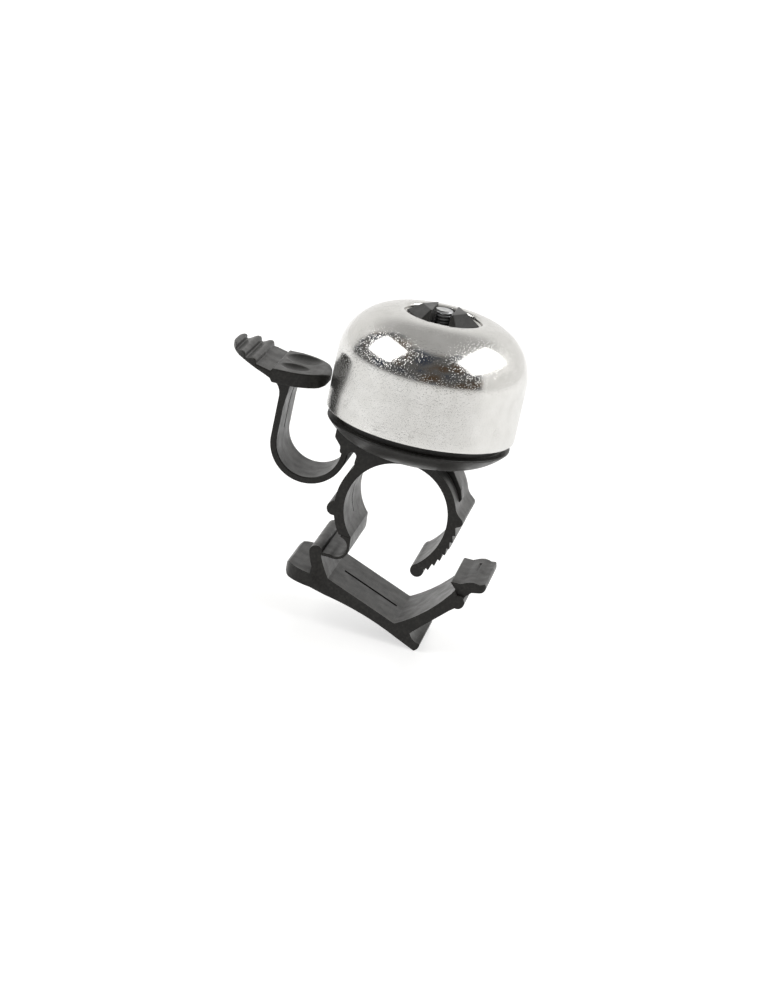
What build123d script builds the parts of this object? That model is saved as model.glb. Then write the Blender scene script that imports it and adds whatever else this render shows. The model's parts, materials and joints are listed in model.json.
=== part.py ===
"""Bicycle bell for a 22.2 mm handlebar, with a tool-free strap clamp and a sprung thumb hammer.

Frame: the origin is the centre of the handlebar seat, Y runs along the handlebar, +Z points from
the bar to the top of the dome, +X points to the toothed arm and -X to the hammer. Millimetres.
"""
import os
from math import cos, radians, sin, sqrt

from build123d import *

# ---- handlebar seat -------------------------------------------------------------------------
bar_radius = 11.1            # a 22.2 mm handlebar
seat_gap = 0.3               # the open arms stand this far off the bar
seat_radius = bar_radius + seat_gap
arm_wall = 2.2
arm_width = 20.5             # along the bar
toothed_width = 18.0

# ---- dome -----------------------------------------------------------------------------------
dome_radius = 21.0
dome_wall = 1.2
dome_height = 24.5
shoulder_radius = 11.8
dome_hole_radius = 7.4
dimple_width = 1.1           # flat ring round the hole
dimple_depth = 1.1

# ---- dish under the dome --------------------------------------------------------------------
dish_gap = 0.8               # between the dome rim and the dish lip
dish_inset = 0.6             # the dish is this much smaller in radius than the dome
dish_lip = 1.0
dish_depth = 7.0             # below the dome rim
dish_clearance = 0.5         # between the dish floor and the handlebar seat
bowl_run = 9.8               # how far the bowl curves in before its flat floor
dish_wall = 1.6
upstand_gap = 1.0            # between the dome and the ring that stands up inside it
upstand_wall = 1.2
upstand_height = 0.6         # above the dome rim

# ---- post, prongs and screw -----------------------------------------------------------------
post_radius = 6.2
seat_flange_wall = 1.5
seat_flange_overlap = 1.2    # how far the flange reaches under the dome
screw_radius = 2.0
screw_sink = 0.3             # screw's end below the top of the prongs
screw_length = 16.0
screw_pitch = 0.7
slot_width = 4.4             # between the two prongs
slot_depth = 11.0            # below the prong base
prong_barb = 0.8             # how far the prongs reach over the edge of the dome hole
prong_top_radius = 5.0
prong_height = 2.5
prong_bevel_lift = 0.1       # gap between the prong barb and the dome
prong_neck_gap = 0.4         # gap between the neck of the prongs and the dome hole

# ---- saddle, spring and hammer --------------------------------------------------------------
saddle_flank = 5.0           # the saddle's outer edge, beyond the seat radius
saddle_right = 0.8
saddle_drop = 1.6            # saddle below the dish floor at the arm
relief_width = 1.9           # slot between the spring and the fixed arm
relief_offset = 0.5          # slot centre, beyond the seat radius
spring_inner = 7.3
spring_wall = 1.45
spring_width = 13.8
spring_offset = 10.7         # bend centre, beyond the seat radius
spring_drop = 2.5            # bend centre below the dish floor
leg_flare = 2.6
head_lift = 3.0              # underside of the hammer head above the dome rim
head_wall = 3.0
head_width = 18.4
strike_gap = 0.4             # between the striker and the dome at rest
head_rise = 0.2              # the striker tip is this much higher than its root
head_root = 11.9             # from the striker tip back to the step
pad_length = 10.6
pad_shoulder = 2.7           # full width this far, then the pad rounds to its tip
pad_step = 0.4               # pad's top below the striker's top
pad_rise = 2.4
pad_wall = 1.4
pad_width = 19.0
ridge_radius = 0.75
ridge_count = 3
ridge_pitch = 2.8
ridge_start = 4.1            # step to the first ridge
ridge_inset = 0.4            # each ridge ends this far inside the pad's edge

# ---- strap hinge and lever ------------------------------------------------------------------
eye_offset = 3.95            # eye centre, beyond the seat radius
eye_angle = 223.15           # round the bar, from +X towards +Z
eye_inner = 2.4
eye_wall = 0.6
eye_to_arm = 2.8             # the fixed arm ends this far above the eye centre
lever_width = 20.5
post_gap = 2.8               # eye centre to the post's inner face
post_wall = 2.8
tab_length = 6.2
tab_wall = 2.9
heel_width = 15.0
pull_tab_width = 18.6
bead_radius = 1.6

# ---- toothed arm ----------------------------------------------------------------------------
tooth_count = 7
tooth_first = -6.5           # angle of the first tooth tip, degrees from +X
tooth_pitch = -6.9
tooth_height = 0.65
toothed_end = -52.0          # angle where the arm runs into its end bead
flexure_start = 78.0         # angle where the root web leaves the saddle
flexure_end = 62.0

# ---- derived --------------------------------------------------------------------------------
arm_outer = seat_radius + arm_wall
dish_bottom = seat_radius + dish_clearance
rim_height = dish_bottom + dish_depth
dish_radius = dome_radius - dish_inset
dish_floor_radius = dish_radius - bowl_run
dome_top = rim_height + dome_height
dish_top = rim_height - dish_gap
crest_radius = dome_radius - shoulder_radius
ring_top = dome_top - dimple_depth
ring_outer = dome_hole_radius + dimple_width
shoulder_z = dome_top - shoulder_radius
prong_base_z = ring_top + prong_bevel_lift
prong_base_radius = dome_hole_radius + prong_barb
saddle_z = dish_bottom - saddle_drop
spring_outer = spring_inner + spring_wall
eye_outer = eye_inner + eye_wall
striker_tip = -(dome_radius + strike_gap)
head_bottom = rim_height + head_lift
saddle_left = seat_radius + saddle_flank
relief_centre = seat_radius + relief_offset
spring_x = -(seat_radius + spring_offset)
spring_z = dish_bottom - spring_drop
step_x = striker_tip - head_root
upstand_radius = dome_radius - dome_wall - upstand_gap
screw_top = prong_base_z + prong_height - screw_sink
screw_bottom = screw_top - screw_length

os.makedirs("parts", exist_ok=True)


def polar(radius, degrees, x=0.0, z=0.0):
    """Point at a radius and angle round (x, z), the angle measured from +X towards +Z."""
    return (x + radius * cos(radians(degrees)), z + radius * sin(radians(degrees)))


def save(piece, name):
    """Label one finished piece and write its STEP file."""
    piece.part.label = name
    export_step(piece.part, f"parts/{name}.step")


# ---- dome: spun cup with a shallow dimple and a hole in its crown ----------------------------
inner_shoulder = shoulder_radius - dome_wall
dimple_under = ring_outer + dome_wall / 2
dimple_meet = dimple_under + dome_wall / 2
with BuildPart() as bell_dome:
    with BuildSketch(Plane.XZ):
        with BuildLine():
            Line((dome_radius, rim_height), (dome_radius, shoulder_z))
            RadiusArc((dome_radius, shoulder_z), (crest_radius, dome_top), -shoulder_radius)
            ThreePointArc(
                (crest_radius, dome_top),
                (ring_outer + 0.25, ring_top + 0.75 * dimple_depth),
                (ring_outer, ring_top),
            )
            Polyline(
                (ring_outer, ring_top),
                (dome_hole_radius, ring_top),
                (dome_hole_radius, ring_top - dome_wall),
                (dimple_under, ring_top - dome_wall),
                (
                    dimple_meet,
                    shoulder_z + sqrt(inner_shoulder**2 - (dimple_meet - crest_radius) ** 2),
                ),
            )
            ThreePointArc(
                (
                    dimple_meet,
                    shoulder_z + sqrt(inner_shoulder**2 - (dimple_meet - crest_radius) ** 2),
                ),
                polar(inner_shoulder, 45, crest_radius, shoulder_z),
                (dome_radius - dome_wall, shoulder_z),
            )
            Polyline(
                (dome_radius - dome_wall, shoulder_z),
                (dome_radius - dome_wall, rim_height),
                (dome_radius, rim_height),
            )
        make_face()
    revolve(axis=Axis.Z)
save(bell_dome, "bell_dome")


# ---- dish: shallow bowl with a lip, and a ring that stands up inside the dome ----------------
def dish_outline():
    """Half section of the dish's outside, closed along the axis at the top of its ring."""
    with BuildLine() as outline:
        Polyline(
            (0, rim_height + upstand_height),
            (upstand_radius, rim_height + upstand_height),
            (upstand_radius, dish_top),
            (dish_radius, dish_top),
            (dish_radius, dish_top - dish_lip),
        )
        bowl_mid = (
            dish_floor_radius + 0.72 * (dish_radius - dish_floor_radius),
            dish_bottom + 0.46 * (dish_top - dish_lip - dish_bottom),
        )
        ThreePointArc((dish_radius, dish_top - dish_lip), bowl_mid, (dish_floor_radius, dish_bottom))
        Polyline(
            (dish_floor_radius, dish_bottom), (0, dish_bottom), (0, rim_height + upstand_height)
        )
    return outline.line


with BuildPart() as base_dish:
    with BuildSketch(Plane.XZ):
        add(dish_outline())
        make_face()
    revolve(axis=Axis.Z)
    with BuildSketch(Plane.XY.offset(dish_bottom + dish_wall)):
        Circle(dish_floor_radius - dish_wall)
    with BuildSketch(Plane.XY.offset(rim_height + upstand_height)):
        Circle(upstand_radius - upstand_wall)
    loft(mode=Mode.SUBTRACT)
save(base_dish, "base_dish")

# ---- post: hollow column with the flange that the dome rests on ------------------------------
flange_top = ring_top - dome_wall
flange_radius = dome_hole_radius + seat_flange_overlap
post_floor = dish_bottom + dish_wall
split_z = prong_base_z - slot_depth
with BuildPart() as centre_post:
    with BuildSketch(Plane.XY.offset(post_floor)):
        Circle(post_radius)
    extrude(amount=flange_top - post_floor)
    with BuildSketch(Plane.XY.offset(flange_top - seat_flange_wall)):
        Circle(flange_radius)
    extrude(amount=seat_flange_wall)
    with BuildSketch(Plane.XY.offset(split_z)):
        Circle(post_radius - dome_wall)
    extrude(amount=flange_top - split_z, mode=Mode.SUBTRACT)
    with BuildSketch(Plane.XY.offset(screw_bottom)):
        Circle(screw_radius)
    extrude(amount=split_z - screw_bottom, mode=Mode.SUBTRACT)
save(centre_post, "centre_post")

# ---- prongs: two half cones, barbed over the dome, that stand in the post --------------------
prong_neck = dome_hole_radius - prong_neck_gap
with BuildPart() as snap_prongs:
    with BuildSketch(Plane.XZ):
        with BuildLine():
            Polyline(
                (0, split_z),
                (post_radius - dome_wall, split_z),
                (post_radius - dome_wall, flange_top),
                (prong_neck, flange_top),
                (prong_neck, prong_base_z),
                (prong_base_radius, prong_base_z),
                (prong_top_radius, prong_base_z + prong_height),
                (0, prong_base_z + prong_height),
                close=True,
            )
        make_face()
    revolve(axis=Axis.Z)
    with Locations((0, 0, (split_z + dome_top) / 2)):
        Box(slot_width, 2 * dome_radius, 2 * dome_height, mode=Mode.SUBTRACT)
save(snap_prongs, "snap_prongs")

# ---- screw: threaded stud between the prongs, its thread drawn as rings ----------------------
with BuildPart() as centre_screw:
    with BuildSketch(Plane.XY.offset(screw_bottom)):
        Circle(screw_radius - screw_pitch / 2)
    extrude(amount=screw_length)
    for turn in range(int(screw_length / screw_pitch)):
        with BuildSketch(Plane.XY.offset(screw_top - (turn + 0.6) * screw_pitch)):
            Circle(screw_radius)
        extrude(amount=screw_pitch / 2)
save(centre_screw, "centre_screw")

# ---- saddle: the block under the dish that carries the spring and the fixed arm --------------
relief_left = -(relief_centre + relief_width / 2)
relief_right = -(relief_centre - relief_width / 2)
saddle_edge = -sqrt(seat_radius**2 - saddle_z**2)
with BuildPart() as saddle_block:
    with BuildSketch(Plane.XZ):
        with BuildLine():
            Polyline(
                (saddle_edge, saddle_z),
                (relief_right, saddle_z),
                (relief_right, saddle_z + 0.1),
            )
            ThreePointArc(
                (relief_right, saddle_z + 0.1),
                (-relief_centre, saddle_z + 0.1 + relief_width / 2),
                (relief_left, saddle_z + 0.1),
            )
            Polyline(
                (relief_left, saddle_z + 0.1),
                (spring_x + spring_outer, spring_z),
                (spring_x + spring_inner, spring_z),
                (spring_x + spring_inner, dish_bottom),
                (-saddle_left, dish_bottom + 1.8),
                (-saddle_left, dish_top - dish_lip),
                (-saddle_right, dish_top - dish_lip),
                (-saddle_right, sqrt(seat_radius**2 - saddle_right**2)),
            )
            RadiusArc(
                (-saddle_right, sqrt(seat_radius**2 - saddle_right**2)),
                (saddle_edge, saddle_z),
                -seat_radius,
            )
        make_face()
    extrude(amount=arm_width / 2, both=True)
    with BuildSketch(Plane.XZ):
        add(dish_outline())
        make_face()
    revolve(axis=Axis.Z, mode=Mode.SUBTRACT)
    spare = spring_width / 2
    for side in (-1, 1):
        with Locations((spring_x + spring_outer, side * (spare + arm_width / 2), spring_z)):
            Box(2 * relief_width, arm_width, 2 * (saddle_z - spring_z), mode=Mode.SUBTRACT)
save(saddle_block, "saddle_block")

eye_x, eye_z = polar(seat_radius + eye_offset, eye_angle)
arm_end_z = eye_z + eye_to_arm
post_face_x = eye_x - post_gap

# ---- fixed arm: left half of the seat --------------------------------------------------------
bead_angle = 189.0
with BuildPart() as fixed_arm:
    with BuildSketch(Plane.XZ):
        Circle(arm_outer)
        with Locations((relief_right / 2, (saddle_z + arm_outer) / 2 - 2.5)):
            Rectangle(-relief_right, arm_outer - 2.0)
        with Locations(polar(arm_outer, bead_angle)):
            Circle(bead_radius)
        Circle(seat_radius, mode=Mode.SUBTRACT)
        with Locations((arm_outer, 0)):
            Rectangle(2 * arm_outer, 4 * arm_outer, mode=Mode.SUBTRACT)
        with Locations((0, saddle_z + arm_outer)):
            Rectangle(4 * arm_outer, 2 * arm_outer, mode=Mode.SUBTRACT)
        with Locations((0, arm_end_z - arm_outer)):
            Rectangle(4 * arm_outer, 2 * arm_outer, mode=Mode.SUBTRACT)
    extrude(amount=arm_width / 2, both=True)
save(fixed_arm, "fixed_arm")

# ---- hinge loop: thin band that lets the lever swing round its eye ---------------------------
loop_right = -sqrt(seat_radius**2 - arm_end_z**2)
with BuildPart() as hinge_loop:
    with BuildSketch(Plane.XZ):
        with Locations((eye_x, eye_z)):
            Circle(eye_outer)
        with BuildLine():
            Polyline(
                (eye_x, arm_end_z),
                (loop_right, arm_end_z),
                (eye_x + eye_outer, eye_z),
                (eye_x, eye_z),
                close=True,
            )
        make_face()
        with BuildLine():
            Polyline(
                (post_face_x, eye_z - eye_inner + 0.2),
                (eye_x - 1.5, eye_z - eye_inner + 0.2),
                (eye_x - 1.0, eye_z - eye_outer + 0.1),
                (post_face_x, eye_z - eye_outer + 0.1),
                close=True,
            )
        make_face()
        with Locations((eye_x, eye_z)):
            Circle(eye_inner, mode=Mode.SUBTRACT)
        with BuildLine():
            Polyline(
                (eye_x, eye_z),
                polar(2 * eye_outer, 80, eye_x, eye_z),
                (eye_x - 3 * eye_outer, eye_z + 2 * eye_outer),
                (eye_x - 3 * eye_outer, eye_z - eye_inner + 0.2),
                (eye_x - 1.5, eye_z - eye_inner + 0.2),
                close=True,
            )
        make_face(mode=Mode.SUBTRACT)
        with Locations((eye_x, arm_end_z + eye_outer)):
            Rectangle(4 * eye_outer, 2 * eye_outer, mode=Mode.SUBTRACT)
    extrude(amount=arm_width / 2, both=True)
save(hinge_loop, "hinge_loop")


# ---- toothed arm: right half of the seat, with sawteeth and an end bead ----------------------
def arm_sector(start, end, inner, outer):
    """Closed sector of a ring round the bar, between two angles that run downwards."""
    middle = (start + end) / 2
    with BuildLine() as outline:
        Line(polar(inner, start), polar(outer, start))
        ThreePointArc(polar(outer, start), polar(outer, middle), polar(outer, end))
        Line(polar(outer, end), polar(inner, end))
        ThreePointArc(polar(inner, end), polar(inner, middle), polar(inner, start))
    return outline.line


root_radius = arm_outer - 0.3
stop_angle = 5.0
with BuildPart() as toothed_arm:
    with BuildSketch(Plane.XZ):
        with BuildLine():
            add(arm_sector(flexure_end, toothed_end, seat_radius, root_radius))
        make_face()
        for tooth in range(tooth_count):
            tip_angle = tooth_first + tooth * tooth_pitch
            with BuildLine():
                Polyline(
                    polar(root_radius - 0.4, tip_angle - tooth_pitch),
                    polar(root_radius, tip_angle - tooth_pitch),
                    polar(root_radius + tooth_height, tip_angle),
                    polar(root_radius - 0.4, tip_angle),
                    close=True,
                )
            make_face()
        with Locations(polar(root_radius, stop_angle)):
            Circle(bead_radius)
        with Locations(polar((seat_radius + root_radius) / 2 + 0.5, toothed_end)):
            Circle(bead_radius - 0.1)
        Circle(seat_radius, mode=Mode.SUBTRACT)
    extrude(amount=toothed_width / 2, both=True)
save(toothed_arm, "toothed_arm")

# ---- flexure: the web at the toothed arm's root that bends ------------------------------------
with BuildPart() as arm_flexure:
    with BuildSketch(Plane.XZ):
        with BuildLine():
            add(arm_sector(flexure_start, flexure_end, seat_radius, root_radius))
        make_face()
        with Locations((0, dish_bottom + dome_radius)):
            Rectangle(4 * dome_radius, 2 * dome_radius, mode=Mode.SUBTRACT)
    extrude(amount=toothed_width / 2, both=True)
save(arm_flexure, "arm_flexure")

# ---- hammer spring: U-shaped leaf ------------------------------------------------------------
with BuildPart() as hammer_spring:
    with BuildSketch(Plane.XZ):
        with Locations((spring_x, spring_z)):
            Circle(spring_outer)
            Circle(spring_inner, mode=Mode.SUBTRACT)
        with Locations((spring_x, spring_z + spring_outer)):
            Rectangle(4 * spring_outer, 2 * spring_outer, mode=Mode.SUBTRACT)
    extrude(amount=spring_width / 2, both=True)
save(hammer_spring, "hammer_spring")

# ---- hammer leg: straight leaf that rises from the spring and flares into the head ------------
leg_outer_x = spring_x - spring_outer
leg_inner_x = spring_x - spring_inner
with BuildPart() as hammer_leg:
    with BuildSketch(Plane.XZ):
        with BuildLine():
            Polyline(
                (step_x, head_bottom),
                (leg_inner_x + leg_flare / 2, head_bottom),
                (leg_inner_x, head_bottom - leg_flare / 2),
                (leg_inner_x, spring_z),
                (leg_outer_x, spring_z),
                (leg_outer_x, head_bottom - leg_flare),
            )
            ThreePointArc(
                (leg_outer_x, head_bottom - leg_flare),
                (leg_outer_x - 0.3 * (leg_outer_x - step_x), head_bottom - 0.3 * leg_flare),
                (step_x, head_bottom),
            )
        make_face()
    extrude(amount=spring_width / 2, both=True)
save(hammer_leg, "hammer_leg")

# ---- striker: tongue whose rounded tip meets the dome -----------------------------------------
with BuildPart() as striker:
    with BuildSketch(Plane.XZ):
        with BuildLine():
            Polyline(
                (step_x, head_bottom),
                (leg_inner_x, head_bottom),
                (striker_tip - 0.4, head_bottom + head_rise),
                (striker_tip, head_bottom + head_rise + 0.9),
                (striker_tip, head_bottom + head_rise + 2.0),
                (striker_tip - 0.6, head_bottom + head_rise + head_wall - 0.3),
                (leg_inner_x + 1.5, head_bottom + head_wall - 0.2),
                (step_x, head_bottom + head_wall),
                close=True,
            )
        make_face()
    extrude(amount=head_width / 2, both=True)
    with BuildSketch(Plane.XY.offset(head_bottom - head_wall)):
        with Locations((step_x + (head_root - head_width / 2) / 2, 0)):
            Rectangle(head_root - head_width / 2, head_width)
        with Locations((striker_tip - head_width / 2, 0)):
            Circle(head_width / 2)
    extrude(amount=3 * head_wall + head_rise, mode=Mode.INTERSECT)
save(striker, "striker")

# ---- thumb pad: thin curved paddle outboard of the striker ------------------------------------


def pad_point(share, lift):
    """Point on the pad's top, a share of the way from its root to its tip, lifted by a height."""
    x = step_x - share * pad_length
    z = head_bottom + head_wall - pad_step + pad_rise * (0.9 * share + 0.1 * share**2)
    return (x, z + lift)


with BuildPart() as thumb_pad:
    with BuildSketch(Plane.XZ):
        with BuildLine():
            Spline([pad_point(share / 4, 0) for share in range(5)])
            Line(pad_point(1, 0), pad_point(1, -pad_wall))
            Spline([pad_point(share / 4, -pad_wall) for share in range(4, -1, -1)])
            Line(pad_point(0, -pad_wall), pad_point(0, 0))
        make_face()
    extrude(amount=pad_width / 2, both=True)
    with BuildSketch(Plane.XY.offset(head_bottom - pad_wall)):
        with Locations((step_x - pad_shoulder, 0)):
            Ellipse(pad_length - pad_shoulder, pad_width / 2)
        with Locations((step_x - pad_shoulder / 2, 0)):
            Rectangle(pad_shoulder, pad_width)
    extrude(amount=4 * pad_wall + pad_rise, mode=Mode.INTERSECT)
save(thumb_pad, "thumb_pad")

# ---- grip ridges: rounded bars across the pad -------------------------------------------------
with BuildPart() as grip_ridges:
    for ridge in range(ridge_count):
        run = ridge_start + ridge * ridge_pitch
        share = run / pad_length
        taper = max(0, run - pad_shoulder) / (pad_length - pad_shoulder)
        half = pad_width / 2 * sqrt(1 - taper**2) - ridge_inset
        with BuildSketch(Plane.XZ):
            with Locations(pad_point(share, 0.15)):
                Circle(ridge_radius)
        extrude(amount=half, both=True)
    with BuildSketch(Plane.XZ):
        with BuildLine():
            Spline([pad_point(share / 4, 0) for share in range(5)])
            Line(pad_point(1, 0), pad_point(1, -3 * pad_wall))
            Line(pad_point(1, -3 * pad_wall), pad_point(0, -3 * pad_wall))
            Line(pad_point(0, -3 * pad_wall), pad_point(0, 0))
        make_face()
    extrude(amount=pad_width, both=True, mode=Mode.SUBTRACT)
save(grip_ridges, "grip_ridges")


# ---- lever: named corners shared by its pieces, all placed round the handlebar seat -----------
def around(offset, degrees):
    """Point at a distance beyond the seat radius and an angle round the bar."""
    return polar(seat_radius + offset, degrees)


post_top_z = eye_z - 0.9
post_foot = around(10.54, -119.5)  # inner face: the post turns into the strap here
valley = around(13.60, -78.5)  # inner face: the strap turns up into the latch arm here
strap_left = around(14.57, -125.3)  # outer face, under the post
strap_mid = around(12.89, -97.1)
strap_right = around(16.84, -77.7)
latch_mid_in = around(10.98, -55.7)
latch_top_in = around(9.91, -39.7)
latch_low_out = around(14.75, -66.1)
latch_top_out = around(13.38, -42.1)
heel_tip = around(19.88, -70.6)
tab_root_top = around(12.56, -130.9)
post_waist = around(11.23, -133.6)
post_belly = around(10.52, -138.2)
post_inner_mid = around(9.18, -128.1)
post_heel = around(13.47, -117.3)
latch_waist = around(13.12, -48.6)
pocket_top = around(15.86, -71.2)
pocket_floor = around(17.13, -70.5)
heel_top = around(18.55, -67.6)
heel_face = around(19.50, -68.7)
hook_tip = around(8.08, -39.2)
hook_top = around(8.11, -38.3)
tab_start = around(9.71, -35.0)
tab_wave_a = around(10.38, -31.9)
tab_wave_b = around(11.47, -29.0)
tab_wave_c = around(12.80, -27.8)
tab_end = around(13.60, -25.8)
tab_nose = around(14.41, -27.5)
tab_under = around(14.12, -30.9)
tab_under_mid = around(12.73, -34.0)
tab_under_root = around(12.48, -37.7)

with BuildPart() as lever_post:
    with BuildSketch(Plane.XZ):
        with BuildLine():
            Line(tab_root_top, post_waist)
            ThreePointArc(
                post_waist,
                post_belly,
                (post_face_x - post_wall, eye_z - 2.4),
            )
            ThreePointArc(
                (post_face_x - post_wall, eye_z - 2.4),
                (post_face_x - post_wall / 2, post_top_z),
                (post_face_x, eye_z - 2.0),
            )
            Line((post_face_x, eye_z - 2.0), (post_face_x, eye_z - 3.0))
            ThreePointArc((post_face_x, eye_z - 3.0), post_inner_mid, post_foot)
            Polyline(post_foot, post_heel, strap_left, tab_root_top)
        make_face()
    extrude(amount=lever_width / 2, both=True)
save(lever_post, "lever_post")

with BuildPart() as thumb_tab:
    with BuildSketch(Plane.XZ):
        with BuildLine():
            Line(strap_left, tab_root_top)
            Line(tab_root_top, (tab_root_top[0] - tab_length + 0.9, tab_root_top[1] + 0.8))
            ThreePointArc(
                (tab_root_top[0] - tab_length + 0.9, tab_root_top[1] + 0.8),
                (tab_root_top[0] - tab_length, tab_root_top[1] - 0.5),
                (tab_root_top[0] - tab_length + 1.2, tab_root_top[1] - tab_wall + 0.5),
            )
            Line((tab_root_top[0] - tab_length + 1.2, tab_root_top[1] - tab_wall + 0.5), strap_left)
        make_face()
    extrude(amount=lever_width / 2, both=True)
    tab_corner = 5.0
    with BuildSketch(Plane.XY.offset(2 * strap_left[1])):
        with Locations((tab_root_top[0] - tab_length + lever_width / 2, 0)):
            RectangleRounded(lever_width, lever_width, tab_corner)
    extrude(amount=-strap_left[1] * 2, mode=Mode.INTERSECT)
save(thumb_tab, "thumb_tab")

with BuildPart() as lever_strap:
    with BuildSketch(Plane.XZ):
        with BuildLine():
            Line(post_foot, valley)
            Line(valley, strap_right)
            ThreePointArc(strap_right, strap_mid, post_heel)
            Line(post_heel, post_foot)
        make_face()
    extrude(amount=lever_width / 2, both=True)
save(lever_strap, "lever_strap")

with BuildPart() as latch_arm:
    with BuildSketch(Plane.XZ):
        with BuildLine():
            Line(strap_right, valley)
            ThreePointArc(valley, latch_mid_in, latch_top_in)
            Line(latch_top_in, latch_top_out)
            Polyline(latch_top_out, latch_waist, latch_low_out)
            Line(latch_low_out, pocket_top)
            Line(pocket_top, strap_right)
        make_face()
        with Locations((latch_top_out[0] - 0.8, latch_top_out[1] + 0.5)):
            Circle(bead_radius - 0.1)
    extrude(amount=lever_width / 2, both=True)
save(latch_arm, "latch_arm")

with BuildPart() as heel:
    with BuildSketch(Plane.XZ):
        with BuildLine():
            Line(strap_right, pocket_top)
            ThreePointArc(pocket_top, pocket_floor, heel_top)
            ThreePointArc(heel_top, heel_face, heel_tip)
            Line(heel_tip, strap_right)
        make_face()
    extrude(amount=heel_width / 2, both=True)
save(heel, "heel")

with BuildPart() as pull_tab:
    with BuildSketch(Plane.XZ):
        with BuildLine():
            Polyline(
                latch_top_in,
                hook_tip,
                hook_top,
                tab_start,
            )
            Spline(tab_start, tab_wave_a, tab_wave_b, tab_wave_c)
            Line(tab_wave_c, tab_end)
            ThreePointArc(tab_end, tab_nose, tab_under)
            Polyline(tab_under, tab_under_mid, tab_under_root, latch_top_out, latch_top_in)
        make_face()
        with Locations((latch_top_out[0] - 0.8, latch_top_out[1] + 0.5)):
            Circle(bead_radius - 0.1, mode=Mode.SUBTRACT)
    extrude(amount=pull_tab_width / 2, both=True)
save(pull_tab, "pull_tab")
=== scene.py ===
"""Looks of a bicycle bell with a spun aluminium dome and a moulded nylon clamp, hammer and lever.

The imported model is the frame: +Z points from the handlebar to the dome, Y runs along the bar and
-X points to the hammer. Sizes in this file are millimetres, and Blender's units are metres.
"""
import json
import logging
import math
from collections.abc import Callable, Sequence
from dataclasses import dataclass
from enum import Enum

import bmesh
import bpy
from mathutils import Matrix, Vector


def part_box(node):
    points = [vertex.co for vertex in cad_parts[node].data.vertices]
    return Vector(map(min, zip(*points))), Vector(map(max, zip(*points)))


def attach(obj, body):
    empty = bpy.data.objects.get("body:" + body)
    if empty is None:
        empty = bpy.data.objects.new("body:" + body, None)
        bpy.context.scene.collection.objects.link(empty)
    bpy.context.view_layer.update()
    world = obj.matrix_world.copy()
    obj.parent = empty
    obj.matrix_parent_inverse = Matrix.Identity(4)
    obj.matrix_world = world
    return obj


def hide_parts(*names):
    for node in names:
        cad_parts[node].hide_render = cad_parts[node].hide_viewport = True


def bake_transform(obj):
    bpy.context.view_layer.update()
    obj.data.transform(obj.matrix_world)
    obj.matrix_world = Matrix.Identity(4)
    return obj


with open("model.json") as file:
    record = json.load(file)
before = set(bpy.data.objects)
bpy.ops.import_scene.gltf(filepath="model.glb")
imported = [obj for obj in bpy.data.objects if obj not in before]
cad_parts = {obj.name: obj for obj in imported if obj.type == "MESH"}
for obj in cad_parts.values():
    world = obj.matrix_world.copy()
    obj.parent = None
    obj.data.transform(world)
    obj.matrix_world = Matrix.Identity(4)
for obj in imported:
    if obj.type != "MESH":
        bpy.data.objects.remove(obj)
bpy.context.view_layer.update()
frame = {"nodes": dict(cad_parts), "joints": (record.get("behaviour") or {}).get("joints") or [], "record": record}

MM = 0.001
FULL_TURN = 360.0
Corner = tuple[float, float]
log = logging.getLogger("bell")


class Drawing(Enum):
    """Plane that an outline is drawn in; the outline is then pulled out square to it."""

    FRONT = "XZ"
    TOP = "XY"

    def place(self, corner: Corner, depth: float) -> Vector:
        """Returns the point, in metres, of a corner drawn at a depth."""
        if self is Drawing.FRONT:
            return Vector((corner[0], depth, corner[1])) * MM
        return Vector((corner[0], corner[1], depth)) * MM

    def pull(self, depth: float) -> Vector:
        """Returns the move, in metres, that pulls the outline out by a depth."""
        return self.place((0.0, 0.0), depth)


class Slot(Enum):
    """Finishes that the record names."""

    ALUMINIUM = "polished_aluminium"
    NYLON = "moulded_nylon"
    STEEL = "zinc_steel"


# ---- drawing helpers -------------------------------------------------------------------------


def polar(radius: float, degrees: float, centre: Corner = (0.0, 0.0)) -> Corner:
    """Finds a point round a centre.

    Args:
        radius: Distance from the centre.
        degrees: Angle from +X towards +Z.
        centre: The centre.

    Returns:
        The point.
    """
    turn = math.radians(degrees)
    return (centre[0] + radius * math.cos(turn), centre[1] + radius * math.sin(turn))


def arc(
    centre: Corner, radius: float, start: float, end: float, step: float = 5.0
) -> list[Corner]:
    """Draws an arc as short runs.

    Args:
        centre: Centre of the arc.
        radius: Its radius.
        start: First angle in degrees.
        end: Last angle in degrees.
        step: Largest turn between two corners.

    Returns:
        The corners, both ends included.
    """
    count = max(1, math.ceil(abs(end - start) / step))
    return [polar(radius, start + (end - start) * i / count, centre) for i in range(count + 1)]


def arc_through(first: Corner, middle: Corner, last: Corner, count: int = 8) -> list[Corner]:
    """Draws the arc through three points.

    Args:
        first: Start of the arc.
        middle: A point on it.
        last: End of the arc.
        count: Number of runs.

    Returns:
        The corners, both ends included.
    """
    (ax, ay), (bx, by), (cx, cy) = first, middle, last
    twice = 2 * (ax * (by - cy) + bx * (cy - ay) + cx * (ay - by))
    aa, bb, cc = ax * ax + ay * ay, bx * bx + by * by, cx * cx + cy * cy
    centre = (
        (aa * (by - cy) + bb * (cy - ay) + cc * (ay - by)) / twice,
        (aa * (cx - bx) + bb * (ax - cx) + cc * (bx - ax)) / twice,
    )
    angles = [math.atan2(y - centre[1], x - centre[0]) for x, y in (first, middle, last)]
    sweep = (angles[2] - angles[0]) % math.tau
    if (angles[1] - angles[0]) % math.tau > sweep:
        sweep -= math.tau
    radius = math.hypot(ax - centre[0], ay - centre[1])
    return [
        polar(radius, math.degrees(angles[0] + sweep * i / count), centre)
        for i in range(count + 1)
    ]


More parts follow.
